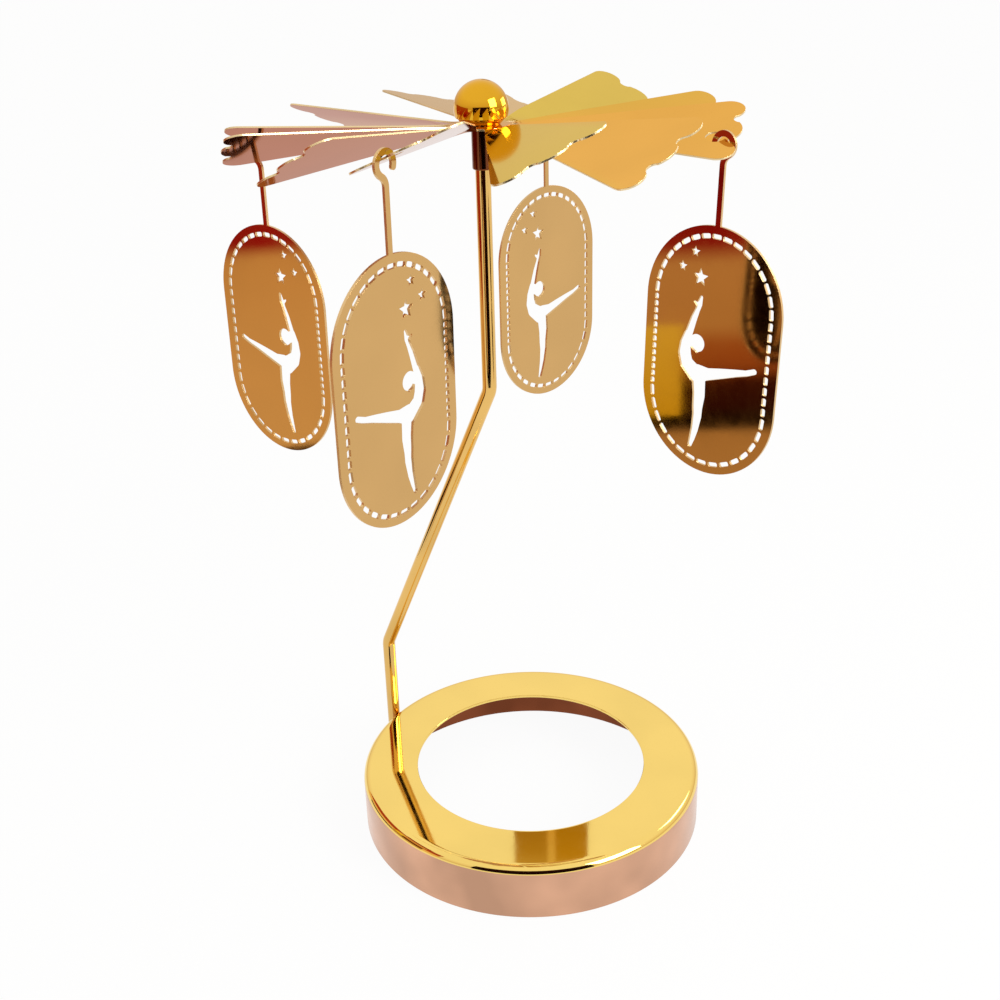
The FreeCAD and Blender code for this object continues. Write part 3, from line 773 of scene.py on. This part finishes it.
class CAROUSEL_OT_charms(bpy.types.Operator):
    """Four flat charms with their stems and hooks"""
    bl_idname = "carousel.charms"
    bl_label = "Charms"

    def execute(self, context):
        charm = settings("charm")
        # Mirror plate on etched sheet, tan from the light around it, alike on all four charms
        gloss = {"drift_share": 0.95, "roughness": 0.05, "smear": 0.04, "wave": 0.012}
        plain = plate_material("mirror_gold_plate_charm", charm.front_colour, **gloss)
        bent = plate_material("mirror_gold_plate_bent_charm", charm.front_colour, aside=BENT_ASIDE, **gloss)
        # The etched edge is a little rough; its lighter colour is partly painted highlight along the edges
        rim = plate_material("etched_edge_gold_and_painted_glint", charm.edge_and_glint_colour,
                             drift_share=0.85, roughness=0.3, smear=0.1, wave=0.0)
        for name, yaw in CHARM_YAWS.items():
            normal = ring_point(1.0, math.radians(yaw) + math.pi / 2)
            bm = bmesh.new()
            bm.from_mesh(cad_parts[name].data)
            bmesh.ops.remove_doubles(bm, verts=bm.verts[:], dist=TOUCH)
            others = [f for f in bm.faces if f.normal.dot(normal) < 0.9]
            bmesh.ops.delete(bm, geom=others, context="FACES")
            bmesh.ops.dissolve_limit(bm, angle_limit=math.radians(0.5), verts=bm.verts[:], edges=bm.edges[:],
                                     delimit=set())
            bmesh.ops.triangulate(bm, faces=bm.faces[:])
            front = bent if name == "charm_front_left" else plain
            piece = finish_piece(bm, name + "_sheet", name + "_body", [name],
                                 [front, front, rim], flat=True)
            thicken(piece, charm.sheet, -1.0, charm.edge)
        return {"FINISHED"}


def window_lamp(name, location, target, side, strength, tint):
    """Square area lamp that points at a target."""
    light = bpy.data.lights.new(name, "AREA")
    light.shape = "RECTANGLE"
    light.size, light.size_y = side, side
    light.energy = strength
    light.color = tint
    lamp = bpy.data.objects.new(name, light)
    bpy.context.scene.collection.objects.link(lamp)
    direction = Vector(target) - Vector(location)
    lamp.matrix_world = (Matrix.Translation(location)
                         @ direction.to_track_quat("-Z", "Y").to_matrix().to_4x4())


def card(name, corner, width, height, heading, bands, strength=1.0):
    """Upright card out of the picture, seen only in the metal; bands are (height, colour)."""
    bm = bmesh.new()
    bmesh.ops.create_grid(bm, x_segments=1, y_segments=1, size=0.5)
    bmesh.ops.translate(bm, vec=(0.5, 0.5, 0), verts=bm.verts[:])
    bmesh.ops.scale(bm, vec=(width * MM, height * MM, 1), verts=bm.verts[:])
    stand = (Matrix.Translation(Vector(corner) * MM) @ Matrix.Rotation(math.radians(heading), 4, "Z")
             @ Matrix.Rotation(math.radians(90), 4, "X"))
    bmesh.ops.transform(bm, matrix=stand, verts=bm.verts[:])
    material, tree, output = blank_material(name + "_paper")
    place = add_node(tree, "ShaderNodeTexCoord").outputs["Object"]
    level = add_node(tree, "ShaderNodeSeparateXYZ", None, {"Vector": place}).outputs["Z"]
    top = corner[2] + height
    share = add_node(tree, "ShaderNodeMapRange", {"From Max": top * MM}, {"Value": level})
    shade = add_ramp(tree, share.outputs["Result"], [(z / top, hex_colour) for z, hex_colour in bands])
    glow = add_node(tree, "ShaderNodeEmission", {"Strength": strength}, {"Color": shade})
    tree.links.new(glow.outputs[0], output.inputs["Surface"])
    piece = mesh_object(bm, name, [material])
    piece.visible_camera = False
    piece.visible_shadow = False
    piece.visible_diffuse = False


def mirror_cards():
    """Cards that stand for dark, coloured and bright surroundings in the mirrors (millimetres)."""
    # Dark in front, for all that turns towards the camera
    card("front_card", (-155, -224, 0), 310, 170, 0, ((0, "#0A0302"), (170, "#2C0E06")))
    # The right charm mirrors these two: brown, dark and red bands, and a golden patch before them
    card("side_card", (-120, -12, 0), 50, 98, -90, (
        (0, "#CFAA7C"), (22, "#C8A070"), (24, "#0C0403"), (27, "#140604"), (30, "#34100A"), (38, "#3A120A"),
        (42, "#A85C30"), (49, "#B46C3A"), (54, "#D0A270"), (72, "#D5A878"), (77, "#A01A1C"), (98, "#7A0C12")))
    card("side_patch_card", (-119, -12, 28), 14, 27, -90, ((28, "#E8C430"), (55, "#F4D860")))
    # The left charm mirrors this one: tan with a red top
    card("left_card", (-200, 120, 0), 260, 150, -90, (
        (0, "#F0D0A0"), (40, "#F0CC9C"), (70, "#E6BC88"), (74, "#A81A20"), (150, "#B06030")))
    # The tip of the left blade mirrors this one by way of the left charm
    card("low_left_card", (-170, 70, 0), 90, 22, -90, ((0, "#1C0804"), (22, "#2C0E06")))
    # The knob mirrors this one as a bright pane
    card("right_window", (200, 150, 140), 110, 70, -90, ((140, "#FFF8E8"), (210, "#FFFFFF")), 6.0)
    # The ring's flat top mirrors a brown patch with a lighter stripe
    card("back_card", (-7, 200, 180), 13, 36, 0, ((180, "#9C7018"), (200, "#B48A30"), (216, "#D4B468")))
    card("back_card_middle", (6, 200, 180), 3, 36, 0, ((180, "#D0A048"), (216, "#E4C888")))
    card("back_card_right", (9, 200, 180), 13, 36, 0,
         ((180, "#A47814"), (200, "#B88A1A"), (216, "#CCA850")))


def paper_floor(stage):
    """Pale floor that glows for the camera and in the metal, so that hardly a shadow shows."""
    bm = bmesh.new()
    bmesh.ops.create_grid(bm, x_segments=1, y_segments=1, size=FLOOR_REACH)
    bmesh.ops.translate(bm, verts=bm.verts[:], vec=(0, 0, -FLOOR_DROP))
    material, tree, output = blank_material("pale_paper_floor")
    rays = add_node(tree, "ShaderNodeLightPath").outputs
    seen = add_node(tree, "ShaderNodeMath", {"operation": "MAXIMUM"},
                    {0: rays["Is Camera Ray"], 1: rays["Is Glossy Ray"]})
    share = add_node(tree, "ShaderNodeMath", {"operation": "MULTIPLY"}, {0: seen.outputs[0]})
    share.inputs[1].default_value = GLOW_SHARE
    paper = add_node(tree, "ShaderNodeBsdfDiffuse", {"Color": (*stage.floor_colour, 1)})
    glow = add_node(tree, "ShaderNodeEmission", {"Color": (*stage.floor_colour, 1), "Strength": 1.0})
    mix = add_node(tree, "ShaderNodeMixShader", None,
                   {"Fac": share.outputs[0], 1: paper.outputs[0], 2: glow.outputs[0]})
    tree.links.new(mix.outputs[0], output.inputs["Surface"])
    mesh_object(bm, "floor", [material])


def soft_room(stage):
    """Warm walls under a paler ceiling for the metal, and plain paper for the camera."""
    world = bpy.data.worlds.new("soft_room")
    bpy.context.scene.world = world
    world.use_nodes = True
    tree = world.node_tree
    tree.nodes.clear()
    output = add_node(tree, "ShaderNodeOutputWorld")
    direction = add_node(tree, "ShaderNodeTexCoord").outputs["Generated"]
    height = add_node(tree, "ShaderNodeSeparateXYZ", None, {"Vector": direction}).outputs["Z"]
    walls = add_ramp(tree, height, ((0.0, "#D8C6B0"), (0.25, "#F3E9DC"), (0.55, "#FFFDF8")))
    rays = add_node(tree, "ShaderNodeLightPath")
    tint = add_node(tree, "ShaderNodeMix", {"data_type": "RGBA"},
                    {"Factor": rays.outputs["Is Camera Ray"], 6: walls})
    tint.inputs[7].default_value = (*stage.floor_colour, 1)
    background = add_node(tree, "ShaderNodeBackground", {"Strength": 1.0}, {"Color": tint.outputs[2]})
    tree.links.new(background.outputs[0], output.inputs["Surface"])


def photo_camera(stage):
    """Camera that stands and looks as the one that took the photograph."""
    camera_data = bpy.data.cameras.new("photo_camera")
    camera_data.sensor_width = SENSOR_MM
    camera_data.lens = stage.focal_px / FRAME_PX * SENSOR_MM
    camera_data.clip_start = 5 * MM
    camera = bpy.data.objects.new("photo_camera", camera_data)
    bpy.context.scene.collection.objects.link(camera)
    yaw, pitch, roll = (math.radians(angle) for angle in CAMERA_TURN)
    ahead = Vector((math.sin(yaw) * math.cos(pitch), math.cos(yaw) * math.cos(pitch), -math.sin(pitch)))
    right = Vector((math.cos(yaw), -math.sin(yaw), 0))
    above = right.cross(ahead)
    level = right * math.cos(roll) + above * math.sin(roll)
    upright = above * math.cos(roll) - right * math.sin(roll)
    turn = Matrix((level, upright, -ahead)).transposed().to_4x4()
    camera.matrix_world = Matrix.Translation(CAMERA_PLACE) @ turn
    bpy.context.scene.camera = camera


class CAROUSEL_OT_stage(bpy.types.Operator):
    """Floor, room, window, cards and the camera"""
    bl_idname = "carousel.stage"
    bl_label = "Stage"

    def execute(self, context):
        stage = settings("stage")
        context.scene.view_settings.view_transform = "Standard"
        paper_floor(stage)
        soft_room(stage)
        window_lamp("window_right", (0.42, -0.3, 0.34), (0, 0, 0.1), 0.3, 3.0, linear("#FFFDF8"))
        mirror_cards()
        photo_camera(stage)
        return {"FINISHED"}


class VIEW3D_PT_carousel(bpy.types.Panel):
    """Lists the carousel's pieces"""
    bl_label = "Carousel"
    bl_idname = "VIEW3D_PT_carousel"
    bl_space_type = "VIEW_3D"
    bl_region_type = "UI"
    bl_category = "Carousel"

    def draw(self, context):
        for operator, group in STEPS:
            box = self.layout.box()
            box.operator(operator.bl_idname)
            values = settings(group)
            for key in values.__annotations__:
                box.prop(values, key)


GROUPS = {
    "ring": CarouselRing,
    "rod": CarouselRod,
    "braze": CarouselBraze,
    "wheel": CarouselWheel,
    "hub": CarouselHub,
    "charm": CarouselCharm,
    "stage": CarouselStage,
}
STEPS = (
    (CAROUSEL_OT_ring, "ring"),
    (CAROUSEL_OT_rod, "rod"),
    (CAROUSEL_OT_braze, "braze"),
    (CAROUSEL_OT_wheel, "wheel"),
    (CAROUSEL_OT_hub, "hub"),
    (CAROUSEL_OT_charms, "charm"),
    (CAROUSEL_OT_stage, "stage"),
)


def register():
    """Register the settings, the operators and the panel."""
    for name, group in GROUPS.items():
        bpy.utils.register_class(group)
        setattr(bpy.types.Scene, "carousel_" + name, PointerProperty(type=group))
    for operator, _ in STEPS:
        bpy.utils.register_class(operator)
    bpy.utils.register_class(VIEW3D_PT_carousel)


def unregister():
    """Remove them again."""
    bpy.utils.unregister_class(VIEW3D_PT_carousel)
    for operator, _ in reversed(STEPS):
        bpy.utils.unregister_class(operator)
    for name, group in GROUPS.items():
        delattr(bpy.types.Scene, "carousel_" + name)
        bpy.utils.unregister_class(group)


def plain(box):
    """A box as plain lists of numbers."""
    return [[float(value) for value in corner] for corner in box]


def main():
    """Build every piece in order."""
    register()
    bpy.ops.carousel.ring()
    bpy.ops.carousel.rod()
    bpy.ops.carousel.braze()
    bpy.ops.carousel.wheel()
    bpy.ops.carousel.hub()
    bpy.ops.carousel.charms()
    bpy.ops.carousel.stage()


if __name__ == "__main__":
    main()
